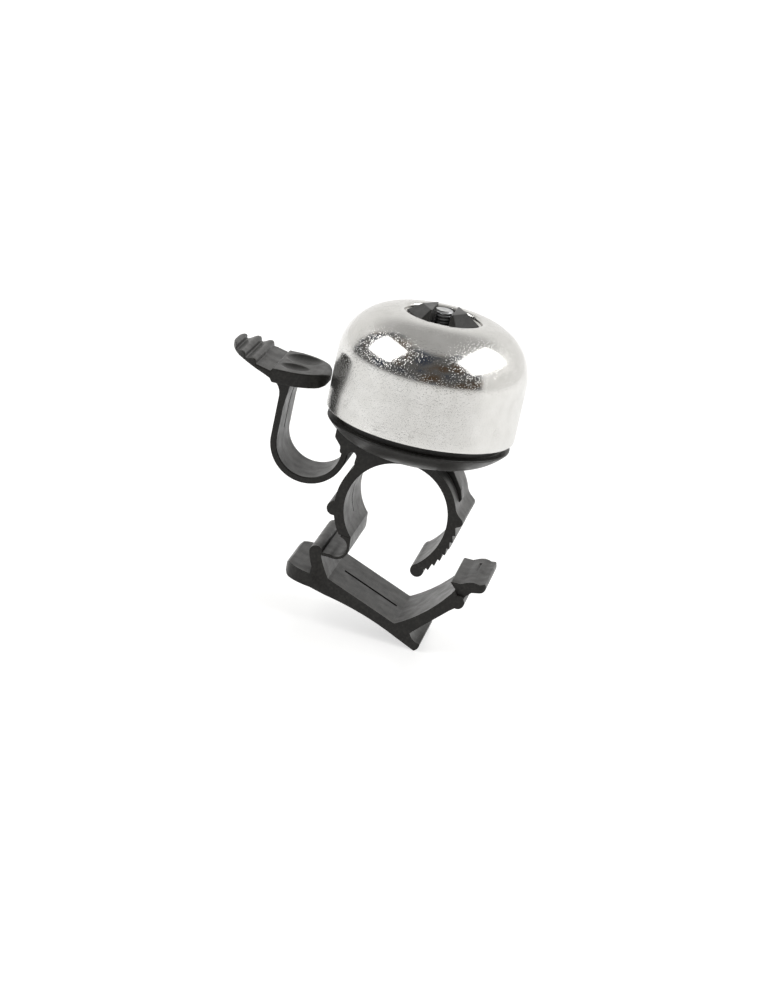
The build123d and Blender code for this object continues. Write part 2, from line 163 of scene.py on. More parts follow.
def rounded(corners: Sequence[tuple[float, float, float]], runs: int = 4) -> list[Corner]:
    """Rounds the corners of a closed outline.

    Args:
        corners: Each corner as x, z and the radius that rounds it.
        runs: Short runs that draw each round.

    Returns:
        The outline's corners.
    """
    outline: list[Corner] = []
    for index, (x, z, radius) in enumerate(corners):
        here = Vector((x, z))
        before = Vector(corners[index - 1][:2]) - here
        after = Vector(corners[(index + 1) % len(corners)][:2]) - here
        opening = before.angle(after)
        if radius <= 0 or opening > math.radians(176):
            outline.append((x, z))
            continue
        reach = min(radius / math.tan(opening / 2), 0.48 * before.length, 0.48 * after.length)
        start, end = here + before.normalized() * reach, here + after.normalized() * reach
        for i in range(runs + 1):
            share = i / runs
            point = start * (1 - share) ** 2 + here * (2 * share * (1 - share)) + end * share**2
            outline.append((point.x, point.y))
    return outline


# ---- the bench: hand tools for one piece -----------------------------------------------------


class Piece:
    """One mesh on the bench, shaped by hand tools and then dressed and mounted."""

    def __init__(self, obj: bpy.types.Object) -> None:
        """Takes the object in hand."""
        self.obj = obj

    @classmethod
    def drawn(
        cls, name: str, corners: Sequence[Corner], depth: float, plane: Drawing = Drawing.FRONT
    ) -> "Piece":
        """Draws an open line by extruding one vertex from corner to corner.

        Args:
            name: Name of the piece.
            corners: The line's corners.
            depth: Where the line lies along the plane's normal.
            plane: Plane of the drawing.

        Returns:
            The piece, still in edit mode with its last vertex selected.
        """
        bpy.ops.object.select_all(action="DESELECT")
        bpy.ops.mesh.primitive_plane_add(size=MM, location=plane.place(corners[0], depth))
        piece = cls(bpy.context.object)
        piece.obj.name = piece.obj.data.name = name
        bpy.ops.object.transform_apply(location=True)
        bpy.ops.object.mode_set(mode="EDIT")
        bpy.ops.mesh.select_mode(type="VERT")
        bpy.ops.mesh.merge(type="CENTER")
        for before, after in zip(corners, corners[1:]):
            move = plane.place(after, depth) - plane.place(before, depth)
            bpy.ops.mesh.extrude_region_move(TRANSFORM_OT_translate={"value": move})
        return piece

    @classmethod
    def traced(
        cls,
        name: str,
        corners: Sequence[Corner],
        low: float,
        high: float,
        plane: Drawing = Drawing.FRONT,
    ) -> "Piece":
        """Draws a closed outline, fills it and pulls it out to a solid.

        Args:
            name: Name of the piece.
            corners: The outline's corners.
            low: Where the solid starts along the plane's normal.
            high: Where it ends.
            plane: Plane of the drawing.

        Returns:
            The solid.
        """
        piece = cls.drawn(name, corners, low, plane)
        piece.pick_vertices(lambda vertex: len(vertex.link_edges) < 2)
        bpy.ops.mesh.edge_face_add()
        bpy.ops.mesh.select_all(action="SELECT")
        bpy.ops.mesh.edge_face_add()
        bpy.ops.mesh.extrude_region_move(
            TRANSFORM_OT_translate={"value": plane.pull(high - low)}
        )
        return piece.heal()

    @classmethod
    def turned(cls, name: str, corners: Sequence[Corner], closed: bool, steps: int) -> "Piece":
        """Spins a half section round the Z axis.

        Args:
            name: Name of the piece.
            corners: The section, as radius and height.
            closed: Whether the section closes on itself, clear of the axis.
            steps: Facets round the axis.

        Returns:
            The turned piece.
        """
        piece = cls.drawn(name, corners, 0.0)
        if closed:
            piece.pick_vertices(lambda vertex: len(vertex.link_edges) < 2)
            bpy.ops.mesh.edge_face_add()
        bpy.ops.mesh.select_all(action="SELECT")
        bpy.ops.mesh.spin(steps=steps, angle=math.tau, center=(0, 0, 0), axis=(0, 0, 1))
        return piece.heal()

    @classmethod
    def ball(cls, name: str, centre: Vector, size: Vector) -> "Piece":
        """Adds an egg shape with its centre and half sizes in millimetres."""
        bpy.ops.object.select_all(action="DESELECT")
        bpy.ops.mesh.primitive_uv_sphere_add(
            segments=48, ring_count=24, radius=1.0, location=centre * MM, scale=size * MM
        )
        piece = cls(bpy.context.object)
        piece.obj.name = name
        bpy.ops.object.transform_apply(location=True, scale=True)
        return piece

    def pick_vertices(self, test: Callable[[bmesh.types.BMVert], bool]) -> None:
        """Selects, in edit mode, the vertices that pass the test."""
        mesh = bmesh.from_edit_mesh(self.obj.data)
        for vertex in mesh.verts:
            vertex.select_set(test(vertex))
        mesh.select_flush_mode()
        bmesh.update_edit_mesh(self.obj.data)

    def hold(self) -> None:
        """Selects this piece alone and makes it active."""
        bpy.ops.object.select_all(action="DESELECT")
        self.obj.select_set(True)
        bpy.context.view_layer.objects.active = self.obj

    def heal(self, gap: float = 0.002) -> "Piece":
        """Merges doubles closer than the gap, turns all faces outwards and leaves edit mode."""
        if self.obj.mode != "EDIT":
            self.hold()
            bpy.ops.object.mode_set(mode="EDIT")
        bpy.ops.mesh.select_all(action="SELECT")
        bpy.ops.mesh.remove_doubles(threshold=gap * MM)
        bpy.ops.mesh.normals_make_consistent(inside=False)
        bpy.ops.object.mode_set(mode="OBJECT")
        return self

    def flatten(self, degrees: float = 0.6) -> "Piece":
        """Dissolves the seams between faces that lie in one plane."""
        self.hold()
        bpy.ops.object.mode_set(mode="EDIT")
        bpy.ops.mesh.select_all(action="SELECT")
        bpy.ops.mesh.dissolve_limited(angle_limit=math.radians(degrees))
        bpy.ops.object.mode_set(mode="OBJECT")
        return self

    def cut(self, point: Vector, normal: Vector) -> "Piece":
        """Cuts away what lies past a plane and caps the cut.

        Args:
            point: A point on the plane, in millimetres.
            normal: Direction of the side that is removed.

        Returns:
            This piece.
        """
        self.hold()
        bpy.ops.object.mode_set(mode="EDIT")
        bpy.ops.mesh.select_all(action="SELECT")
        bpy.ops.mesh.bisect(
            plane_co=point * MM, plane_no=normal, use_fill=True, clear_outer=True, threshold=1e-7
        )
        return self.heal()

    def modify(self, kind: str, **settings: object) -> "Piece":
        """Adds a modifier with its settings and applies it."""
        self.hold()
        bpy.ops.object.modifier_add(type=kind)
        modifier = self.obj.modifiers[-1]
        for name, value in settings.items():
            setattr(modifier, name, value)
        bpy.ops.object.modifier_apply(modifier=modifier.name)
        return self

    def _combine(self, other: "Piece", operation: str) -> "Piece":
        """Joins this piece with another by a boolean and clears the other away."""
        self.modify("BOOLEAN", operation=operation, solver="EXACT", object=other.obj)
        bpy.data.objects.remove(other.obj)
        return self

    def weld(self, other: "Piece") -> "Piece":
        """Welds another piece on."""
        return self._combine(other, "UNION")

    def carve(self, other: "Piece") -> "Piece":
        """Carves another piece's shape out of this one."""
        return self._combine(other, "DIFFERENCE")

    def trim(self, other: "Piece") -> "Piece":
        """Keeps only what lies inside another piece."""
        return self._combine(other, "INTERSECT")

    def soften(self, width: float, segments: int = 3, degrees: float = 38.0) -> "Piece":
        """Rounds every edge that turns by more than an angle.

        Args:
            width: Size of the round.
            segments: Faces across it.
            degrees: Smallest turn that counts as an edge.

        Returns:
            This piece.
        """
        return self.modify(
            "BEVEL",
            width=width * MM,
            segments=segments,
            limit_method="ANGLE",
            angle_limit=math.radians(degrees),
            use_clamp_overlap=True,
        )

    def mould(self, grain: float, rounds: int) -> "Piece":
        """Melts welded shapes into one skin with soft edges.

        Args:
            grain: Size of the skin's faces.
            rounds: Passes of smoothing.

        Returns:
            This piece.
        """
        self.modify("REMESH", mode="VOXEL", voxel_size=grain * MM, use_smooth_shade=True)
        return self.modify("SMOOTH", factor=0.5, iterations=rounds)

    def polish(self, degrees: float = 34.0) -> "Piece":
        """Smooths the shading, with flat faces kept flat."""
        self.hold()
        bpy.ops.object.shade_smooth_by_angle(angle=math.radians(degrees))
        return self.modify("WEIGHTED_NORMAL", keep_sharp=True, weight=100)

    def dress(self, material: bpy.types.Material, slot: Slot) -> "Piece":
        """Gives the piece its finish."""
        self.obj.data.materials.clear()
        self.obj.data.materials.append(material)
        return self

    def mount(self, body: str, *nodes: str) -> "Piece":
        """Makes the piece ride on a body in place of CAD nodes."""
        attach(self.obj, body)
        if nodes:
            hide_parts(*nodes)
        log.info("%s: %d faces on %s", self.obj.name, len(self.obj.data.polygons), body)
        return self

    def bend(self, bodies: tuple[str, str], start: Corner, end: Corner, node: str) -> "Piece":
        """Bakes the piece in place, hides the CAD node that it stands for and logs the two bodies; nothing bends
        it between them from one point in XZ to another.

        Args:
            bodies: The still body and the moving one.
            start: Where the bend starts; not used.
            end: Where it ends; not used.
            node: CAD node that the piece stands for.

        Returns:
            This piece.
        """
        ends = [Drawing.FRONT.place(point, 0.0) for point in (start, end)]
        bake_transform(self.obj)
        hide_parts(node)
        log.info("%s: bends between %s and %s", self.obj.name, *bodies)
        return self


# ---- finishes --------------------------------------------------------------------------------


def paint(code: str) -> tuple[float, float, float, float]:
    """Turns an sRGB hex colour into linear red, green, blue and alpha."""
    parts = [int(code[i : i + 2], 16) / 255 for i in (1, 3, 5)]
    linear = [c / 12.92 if c <= 0.04045 else ((c + 0.055) / 1.055) ** 2.4 for c in parts]
    return (linear[0], linear[1], linear[2], 1.0)


def per_mm(size: float) -> float:
    """Returns the texture scale that gives features of a size in millimetres."""
    return 1.0 / (size * MM)


def node(
    tree: bpy.types.NodeTree,
    kind: str,
    inputs: dict[str | int, object] | None = None,
    **settings: object,
) -> bpy.types.Node:
    """Adds one node.

    Args:
        tree: Tree that takes the node.
        kind: Node type.
        inputs: For each input, a socket to link from or a value to set.
        settings: The node's own properties.

    Returns:
        The node.
    """
    made = tree.nodes.new(kind)
    for name, value in settings.items():
        setattr(made, name, value)
    for key, value in (inputs or {}).items():
        if isinstance(value, bpy.types.NodeSocket):
            tree.links.new(value, made.inputs[key])
        else:
            made.inputs[key].default_value = value
    return made


def fade(
    tree: bpy.types.NodeTree,
    value: bpy.types.NodeSocket,
    span: tuple[float, float],
    result: tuple[float, float] = (0.0, 1.0),
    smooth: bool = False,
) -> bpy.types.NodeSocket:
    """Maps a value from one span to another.

    Args:
        tree: Tree that takes the node.
        value: The value.
        span: The value's span, in either order.
        result: What the span's ends become.
        smooth: Whether the change eases in and out.

    Returns:
        The mapped value.
    """
    inputs = {"Value": value, 1: span[0], 2: span[1], 3: result[0], 4: result[1]}
    easing = "SMOOTHSTEP" if smooth else "LINEAR"
    return node(tree, "ShaderNodeMapRange", inputs, interpolation_type=easing).outputs[0]


def noise(
    tree: bpy.types.NodeTree, place: bpy.types.NodeSocket, scale: float, detail: float = 2.0
) -> bpy.types.NodeSocket:
    """Adds cloudy noise and returns its value."""
    inputs = {"Vector": place, "Scale": scale, "Detail": detail}
    return node(tree, "ShaderNodeTexNoise", inputs).outputs[0]


def streaky(
    tree: bpy.types.NodeTree,
    place: bpy.types.NodeSocket,
    lengths: tuple[float, float, float],
    detail: float,
) -> bpy.types.NodeSocket:
    """Adds noise drawn out to a length in millimetres along each axis and returns its value."""
    scale = tuple(per_mm(length) for length in lengths)
    stretch = node(tree, "ShaderNodeMapping", {"Vector": place, "Scale": scale}).outputs[0]
    return noise(tree, stretch, 1.0, detail)


def product(
    tree: bpy.types.NodeTree, first: bpy.types.NodeSocket, second: bpy.types.NodeSocket
) -> bpy.types.NodeSocket:
    """Multiplies two values."""
    return node(tree, "ShaderNodeMath", {0: first, 1: second}, operation="MULTIPLY").outputs[0]


def added(
    tree: bpy.types.NodeTree,
    base: bpy.types.NodeSocket,
    extra: bpy.types.NodeSocket,
    share: float,
) -> bpy.types.NodeSocket:
    """Adds a share of one value to another."""
    inputs = {0: extra, 1: share, 2: base}
    return node(tree, "ShaderNodeMath", inputs, operation="MULTIPLY_ADD").outputs[0]


def tinted(
    tree: bpy.types.NodeTree,
    factor: bpy.types.NodeSocket,
    first: str | bpy.types.NodeSocket,
    second: str,
) -> bpy.types.NodeSocket:
    """Mixes two colours.

    Args:
        tree: Tree that takes the node.
        factor: Share of the second colour.
        first: The first colour, as a hex code or a socket.
        second: The second colour, as a hex code.

    Returns:
        The mixed colour.
    """
    start = paint(first) if isinstance(first, str) else first
    mix = node(tree, "ShaderNodeMix", {"Factor": factor}, data_type="RGBA")
    if isinstance(start, bpy.types.NodeSocket):
        tree.links.new(start, mix.inputs[6])
    else:
        mix.inputs[6].default_value = start
    mix.inputs[7].default_value = paint(second)
    return mix.outputs[2]


def relief_bump(
    tree: bpy.types.NodeTree, height: bpy.types.NodeSocket, strength: float, depth: float
) -> bpy.types.NodeSocket:
    """Turns a height into a bump of a depth in millimetres."""
    inputs = {"Height": height, "Strength": strength, "Distance": depth * MM}
    return node(tree, "ShaderNodeBump", inputs).outputs[0]


def surface(tree: bpy.types.NodeTree, inputs: dict[str | int, object]) -> None:
    """Ends the tree with a principled shader that has these inputs."""
    shader = node(tree, "ShaderNodeBsdfPrincipled", inputs).outputs[0]
    node(tree, "ShaderNodeOutputMaterial", {"Surface": shader})


def new_material(name: str) -> bpy.types.Material:
    """Makes an empty node material."""
    material = bpy.data.materials.new(name)
    material.use_nodes = True
    material.node_tree.nodes.clear()
    return material


@dataclass(frozen=True)
class SpunAluminium:
    """Polished spun aluminium: bright, with pits and a brushed band that break up reflections."""

    bright: str = "#DEDDDB"
    dull: str = "#CBCAC6"
    pit_size: float = 0.36       # real pits are near 0.1, drawn coarser so that they show
    pit_depth: float = 0.036
    worn: tuple[float, float, float] = (-4.0, -20.0, 20.5)     # middle of the scratched patch
    worn_reach: tuple[float, float, float] = (7.0, 7.0, 2.4)
    brushed_from: float = 1.5    # above the wall's top, where the brushing fades in
    brushed_full: float = 3.0    # below it, where the brushing is full
    blotch_size: float = 3.5
    scratch_length: float = 2.6
    scratch_pitch: float = 0.16
    roughness: float = 0.10
    wall_roughness: float = 0.22

    def material(self, wall_top: float) -> bpy.types.Material:
        """Builds the finish.

        Args:
            wall_top: Height where the straight wall ends.

        Returns:
            The material.
        """
        made = new_material("spun_aluminium_polished")
        tree = made.node_tree
        place = node(tree, "ShaderNodeTexCoord").outputs["Object"]
        height = node(tree, "ShaderNodeSeparateXYZ", {0: place}).outputs["Z"]
        span = ((wall_top + self.brushed_from) * MM, (wall_top - self.brushed_full) * MM)
        wall = fade(tree, height, span, smooth=True)
        squash = node(
            tree,
            "ShaderNodeVectorMath",
            {0: place, 1: tuple(part * MM for part in self.worn)},
            operation="SUBTRACT",
        ).outputs[0]
        squash = node(
            tree,
            "ShaderNodeVectorMath",
            {0: squash, 1: tuple(per_mm(reach) for reach in self.worn_reach)},
            operation="MULTIPLY",
        ).outputs[0]
        away = node(
            tree, "ShaderNodeVectorMath", {0: squash}, operation="LENGTH"
        ).outputs["Value"]
        worn_patch = fade(tree, away, (1.0, 0.3))
        cells = node(
            tree,
            "ShaderNodeTexVoronoi",
            {"Vector": place, "Scale": per_mm(self.pit_size), "Randomness": 1.0},
        ).outputs["Distance"]
        pits = fade(tree, cells, (0.0, 0.36))
        blotches = noise(tree, place, per_mm(self.blotch_size), 4.0)
        lengths = (self.scratch_length, self.scratch_length, self.scratch_pitch)
        scratches = streaky(tree, place, lengths, 2.0)
        marks = product(tree, fade(tree, scratches, (0.60, 0.68)), worn_patch)
        rough = fade(tree, wall, (0.0, 1.0), (self.roughness, self.wall_roughness))
        rough = added(tree, rough, blotches, 0.08)
        rough = added(tree, rough, marks, 0.25)
        relief = added(tree, pits, product(tree, scratches, wall), 0.9)
        relief = added(tree, relief, marks, -2.0)
        surface(
            tree,
            {
                "Base Color": tinted(tree, blotches, self.bright, self.dull),
                "Metallic": 1.0,
                "Roughness": rough,
                "Normal": relief_bump(tree, relief, 0.85, self.pit_depth),
            },
        )
        return made


@dataclass(frozen=True)
class MouldedNylon:
    """Charcoal nylon from a spark-eroded mould: satin, with fine grain, flow streaks and scuffs."""

    base: str = "#191816"
    streak: str = "#262522"
    scuff: str = "#55534F"
    grain_size: float = 0.30     # real mould grain is near 0.05, drawn coarser so that it shows
    grain_depth: float = 0.05
    streak_length: float = 7.0
    streak_pitch: float = 0.5
    ripple_size: float = 2.4
    roughness: float = 0.31
    specular: float = 0.25
    sheen: float = 0.12

    def material(self) -> bpy.types.Material:
        """Builds the finish."""
        made = new_material("nylon_moulded_satin")
        tree = made.node_tree
        place = node(tree, "ShaderNodeTexCoord").outputs["Object"]
        grain = noise(tree, place, per_mm(self.grain_size), 3.0)
        ripples = noise(tree, place, per_mm(self.ripple_size))
        lengths = (self.streak_pitch, self.streak_length, self.streak_pitch)
        streaks = streaky(tree, place, lengths, 4.0)
        toned = tinted(tree, fade(tree, streaks, (0.42, 0.66)), self.base, self.streak)
        scuffs = fade(tree, streaks, (0.70, 0.82), (0.0, 0.4))
        gloss = (self.roughness, self.roughness + 0.14)
        relief = added(tree, added(tree, grain, ripples, 1.6), streaks, 0.5)
        surface(
            tree,
            {
                "Base Color": tinted(tree, scuffs, toned, self.scuff),
                "Roughness": fade(tree, ripples, (0.3, 0.7), gloss),
                "IOR": 1.53,
                "Specular IOR Level": self.specular,
                "Sheen Weight": self.sheen,
                "Sheen Roughness": 0.35,
                "Normal": relief_bump(tree, relief, 0.35, self.grain_depth),
            },
        )
        return made


@dataclass(frozen=True)
class ZincSteel:
    """Zinc-plated steel: a grey metal with a faint blue cast and cloudy plating."""

    bright: str = "#D9DADB"
    dull: str = "#A9AAAB"
    cloud_size: float = 0.8
    roughness: float = 0.34

    def material(self) -> bpy.types.Material:
        """Builds the finish."""
        made = new_material("zinc_plated_steel")
        tree = made.node_tree
        place = node(tree, "ShaderNodeTexCoord").outputs["Object"]
        clouds = noise(tree, place, per_mm(self.cloud_size), 4.0)
        gloss = (self.roughness - 0.08, self.roughness + 0.12)
        surface(
            tree,
            {
                "Base Color": tinted(tree, clouds, self.bright, self.dull),
                "Metallic": 1.0,
                "Roughness": fade(tree, clouds, (0.3, 0.7), gloss),
                "Normal": relief_bump(tree, clouds, 0.2, 0.02),
            },
        )
        return made


@dataclass(frozen=True)
class OpalTable:
    """Opal acrylic table lit from below: white all over, matt, with a faint tooth."""

    white: str = "#B5B5B4"
    glow: float = 0.60
    tooth_size: float = 1.2

    def material(self) -> bpy.types.Material:
        """Builds the finish."""
        made = new_material("opal_acrylic")
        tree = made.node_tree
        place = node(tree, "ShaderNodeTexCoord").outputs["Object"]
        tooth = noise(tree, place, per_mm(self.tooth_size))
        surface(
            tree,
            {
                "Base Color": paint(self.white),
                "Roughness": fade(tree, tooth, (0.3, 0.7), (0.26, 0.32)),
                "Emission Color": paint("#FFFFFF"),
                "Emission Strength": self.glow,
            },
        )
        return made


# ---- where things are ------------------------------------------------------------------------


@dataclass(frozen=True)
class Layout:
    """Places that every sub-assembly shares, read from the frame, in millimetres."""

    seat: float
    dome_radius: float
    rim: float
    dome_top: float
    arm_half: float
    eye: Corner
    spring: Corner
    floor: float

    @classmethod
    def read(cls) -> "Layout":
        """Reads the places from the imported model."""
        dome_low, dome_high = (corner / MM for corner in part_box("bell_dome"))
        joints = {joint["name"]: Vector(joint["pos_m"]) / MM for joint in frame["joints"]}
        mount = frame["record"]["mounts"][0]
        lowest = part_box("heel")[0] / MM
        return cls(
            seat=mount["dims"]["r_mm"],
            dome_radius=dome_high.x,
            rim=dome_low.z,
            dome_top=dome_high.z,
            arm_half=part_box("fixed_arm")[1].y / MM,
            eye=(joints["lever_hinge"].x, joints["lever_hinge"].z),
            spring=(joints["hammer_swing"].x, joints["hammer_swing"].z),
            floor=lowest.z,
        )

    def around(self, offset: float, degrees: float) -> Corner:
        """Returns a point at a distance beyond the handlebar seat, at an angle round the bar."""
        return polar(self.seat + offset, degrees)


# ---- sub-assemblies --------------------------------------------------------------------------


@dataclass
class BellDome:
    """Spun dome: straight wall, round shoulder, and a lip that rolls in to the hole."""

    layout: Layout
    wall: float = 1.2
    shoulder: float = 11.8
    hole: float = 7.4
    ring: float = 1.1
    dimple: float = 1.1
    rim_round: float = 0.35

    @property
    def shoulder_z(self) -> float:
        """Height of the shoulder's centre."""
        return self.layout.dome_top - self.shoulder

    def section(self) -> list[Corner]:
        """Returns the half section as a closed outline."""
        radius, rim, top = self.layout.dome_radius, self.layout.rim, self.layout.dome_top
        centre = (radius - self.shoulder, self.shoulder_z)
        ring_outer, ring_top = self.hole + self.ring, top - self.dimple
        inner = self.shoulder - self.wall
        under = ring_top - self.wall
        meet = ring_outer + self.wall
        start = math.degrees(math.acos((meet - centre[0]) / inner))
        walls = [rim + (centre[1] - rim) * i / 6 for i in range(1, 6)]
        return [
            *arc((radius - self.rim_round, rim + self.rim_round), self.rim_round, -90, 0, 22),
            *[(radius, z) for z in walls],
            *arc(centre, self.shoulder, 0, 90, 2.5),
            *arc((centre[0], top - 0.75), 0.75, 105, 170, 16),
            (ring_outer - 0.05, ring_top + 0.15),
            (ring_outer - 0.25, ring_top),
            (self.hole + 0.15, ring_top),
            (self.hole, ring_top - 0.15),
            (self.hole, under),
            (ring_outer + self.wall / 2, under),
            *arc(centre, inner, start, 0, 4),
            *[(radius - self.wall, z) for z in reversed(walls)],
            (radius - self.wall, rim + 0.1),
            (radius - self.wall + 0.1, rim),
        ]

    def build(self) -> None:
        """Builds the dome and mounts it."""
        finish = SpunAluminium().material(self.shoulder_z)
        piece = Piece.turned("bell_dome_spun", self.section(), True, 144)
        piece.hold()
        bpy.ops.object.shade_smooth_by_angle(angle=math.radians(40))
        piece.dress(finish, Slot.ALUMINIUM).mount("base", "bell_dome")


@dataclass
class SnapTop:
    """Two barbed prongs that hold the dome down, with a threaded stud between them."""

    layout: Layout
    nylon: bpy.types.Material
    steel: bpy.types.Material
    slot: float = 4.4
    stem: float = 5.0
    neck: float = 7.0
    barb: float = 8.2
    top: float = 5.0
    height: float = 2.5
    depth: float = 11.0
    lift: float = 1.0            # barb's underside below the dome's top
    dome_wall: float = 1.2
    stud: float = 2.0
    pitch: float = 0.7
    stud_sink: float = 0.3
    stud_length: float = 16.0

    def prongs(self) -> None:
        """Builds both prongs as halves of one turned cone."""
        base = self.layout.dome_top - self.lift
        section = [
            (0.0, base - self.depth),
            (self.stem, base - self.depth),
            (self.stem, base - 0.1 - self.dome_wall),
            (self.neck, base - 0.1 - self.dome_wall),
            (self.neck, base),
            (self.barb, base),
            (self.barb - 0.1, base + 0.35),
            (self.top, base + self.height),
            (0.0, base + self.height),
        ]
        halves = []
        for side in (-1, 1):
            half = Piece.turned("snap_prongs_moulded", section, False, 6)
            half.cut(Vector((side * self.slot / 2, 0, 0)), Vector((-side, 0, 0)))
            halves.append(half.flatten().soften(0.28, 2, 25).polish(30))
        halves[0].hold()
        halves[1].obj.select_set(True)
        bpy.ops.object.join()
        halves[0].dress(self.nylon, Slot.NYLON).mount("base", "snap_prongs")

    def stud_screw(self) -> None:
        """Builds the stud by winding one thread up its core."""
        top = self.layout.dome_top - self.lift + self.height - self.stud_sink
        low = top - self.stud_length
        root = self.stud - 0.6 * self.pitch
        start = low - self.pitch
        thread = [
            (root, start),
            (self.stud - 0.04, start + 0.38 * self.pitch),
            (self.stud - 0.04, start + 0.50 * self.pitch),
            (root, start + 0.88 * self.pitch),
            (root, start + self.pitch),
        ]
        piece = Piece.drawn("centre_screw_threaded", thread, 0.0)
        bpy.ops.object.mode_set(mode="OBJECT")
        turns = math.ceil(self.stud_length / self.pitch) + 2
        piece.modify(
            "SCREW",
            axis="Z",
            screw_offset=self.pitch * MM,
            iterations=turns,
            steps=40,
            render_steps=40,
            use_merge_vertices=True,
            merge_threshold=1e-6,
        )
        piece.heal()
        piece.cut(Vector((0, 0, top)), Vector((0, 0, 1)))
        piece.cut(Vector((0, 0, low)), Vector((0, 0, -1)))
        piece.hold()
        bpy.ops.object.shade_smooth_by_angle(angle=math.radians(30))
        piece.dress(self.steel, Slot.STEEL).mount("base", "centre_screw")

    def build(self) -> None:
        """Builds the prongs and the stud."""
        self.prongs()
        self.stud_screw()


@dataclass
class BaseMoulding:
    """Dish, saddle and fixed arm, moulded in one."""

    layout: Layout
    nylon: bpy.types.Material
    arm_wall: float = 2.2
    dish_gap: float = 0.8
    dish_inset: float = 0.6
    dish_lip: float = 1.0
    dish_clear: float = 0.5
    bowl_run: float = 9.8
    dish_wall: float = 1.6
    ring_gap: float = 1.0
    ring_wall: float = 1.2
    ring_rise: float = 0.6
    dome_wall: float = 1.2
    saddle_drop: float = 1.6
    relief_width: float = 1.9
    relief_offset: float = 0.5
    saddle_flank: float = 5.0
    saddle_right: float = 0.8
    spring_inner: float = 7.3
    spring_wall: float = 1.45
    spring_half: float = 6.9
    bead: float = 1.6
    bead_angle: float = 189.0
    eye_to_arm: float = 2.8

    @property
    def dish_bottom(self) -> float:
        """Height of the dish's underside."""
        return self.layout.seat + self.dish_clear

    def dish(self) -> Piece:
        """Turns the dish, with its ledge, bowl and the ring that stands up inside the dome."""
        rim = self.layout.rim
        edge = self.layout.dome_radius - self.dish_inset
        floor = edge - self.bowl_run
        top, bottom = rim - self.dish_gap, self.dish_bottom
        ring = self.layout.dome_radius - self.dome_wall - self.ring_gap
        crest = rim + self.ring_rise
        ledge = top - self.dish_lip
        mid = (floor + 0.72 * (edge - floor), bottom + 0.46 * (ledge - bottom))
        section = [
            (0.0, bottom + self.dish_wall),
            (floor - self.dish_wall, bottom + self.dish_wall),
            (ring - self.ring_wall, crest),
            (ring - 0.15, crest),
            (ring, crest - 0.15),
            (ring, ledge + 0.15),
            (ring + 0.15, ledge),
            (edge - 0.15, ledge),
            (edge, ledge - 0.15),
            *arc_through((edge, ledge - 0.35), mid, (floor, bottom), 18),
            (0.0, bottom),
        ]
        return Piece.turned("base_moulding", section, False, 128)

    def saddle_and_arm(self) -> Piece:
        """Traces the saddle and the fixed arm, which wraps the left half of the seat."""
        seat, outer = self.layout.seat, self.layout.seat + self.arm_wall
        saddle_z = self.dish_bottom - self.saddle_drop
        centre = -(seat + self.relief_offset)
        left, right = centre - self.relief_width / 2, centre + self.relief_width / 2
        spring_right = self.layout.spring[0] + self.spring_inner
        flank = -(seat + self.saddle_flank)
        top = self.layout.rim - self.dish_gap - self.dish_lip
        end_z = self.layout.eye[1] + self.eye_to_arm
        start = math.degrees(math.acos(-self.saddle_right / seat))
        inner_end = 180 - math.degrees(math.asin(end_z / seat))
        outer_end = 180 - math.degrees(math.asin(end_z / outer))
        shoulder = 180 - math.degrees(math.acos(-right / outer))
        outline = [
            *arc((0.0, 0.0), seat, start, inner_end, 4),
            *arc((0.0, 0.0), outer, outer_end, shoulder, 4),
            (right - 0.12, saddle_z - 1.0),
            *arc((centre, saddle_z + 0.1), self.relief_width / 2, 0, 180, 18),
            *rounded(
                [
                    (left, saddle_z + 0.1, 0),
                    (spring_right, saddle_z + 0.1, 1.2),
                    (spring_right, self.dish_bottom, 1.2),
                    (flank, self.dish_bottom + 1.8, 0.8),
                    (flank, top, 0.5),
                    (-self.saddle_right, top, 0),
                ]
            ),
        ]
        half = self.layout.arm_half
        body = Piece.traced("saddle_and_arm", outline, -half, half)
        bead = arc(polar(outer, self.bead_angle), self.bead, 0, 340, 20)
        body.weld(Piece.traced("arm_bead", bead, -half, half))
        return body.heal().flatten().soften(0.3)

    def spring_root(self) -> Piece:
        """Traces the narrow foot that the hammer's spring grows from."""
        inner = self.layout.spring[0] + self.spring_inner
        outer = inner + self.spring_wall
        foot = self.layout.spring[1]
        top = self.dish_bottom + 1.0
        outline = [
            (inner, foot - 1.0),
            (inner, top),
            (outer + 0.6, top),
            (outer + 0.5, foot + 1.3),
            (outer, foot),
            (outer, foot - 1.0),
        ]
        root = Piece.traced("spring_root", outline, -self.spring_half, self.spring_half)
        root.soften(0.25)
        return root.cut(Vector((0, 0, foot)), Vector((0, 0, -1)))

    def groove(self) -> Piece:
        """Traces the fine mould groove along the inside of the arm."""
        seat = self.layout.seat
        outline = [*arc((0, 0), seat - 1.0, 158, 206, 4), *arc((0, 0), seat + 0.3, 206, 158, 4)]
        return Piece.traced("arm_groove", outline, -0.25, 0.25)

    def build(self) -> None:
        """Welds the base together and mounts it."""
        body = self.dish().weld(self.saddle_and_arm()).weld(self.spring_root())
        body.carve(self.groove()).heal()
        body.polish(32)
        body.dress(self.nylon, Slot.NYLON)
        body.mount("base", "base_dish", "saddle_block", "fixed_arm")


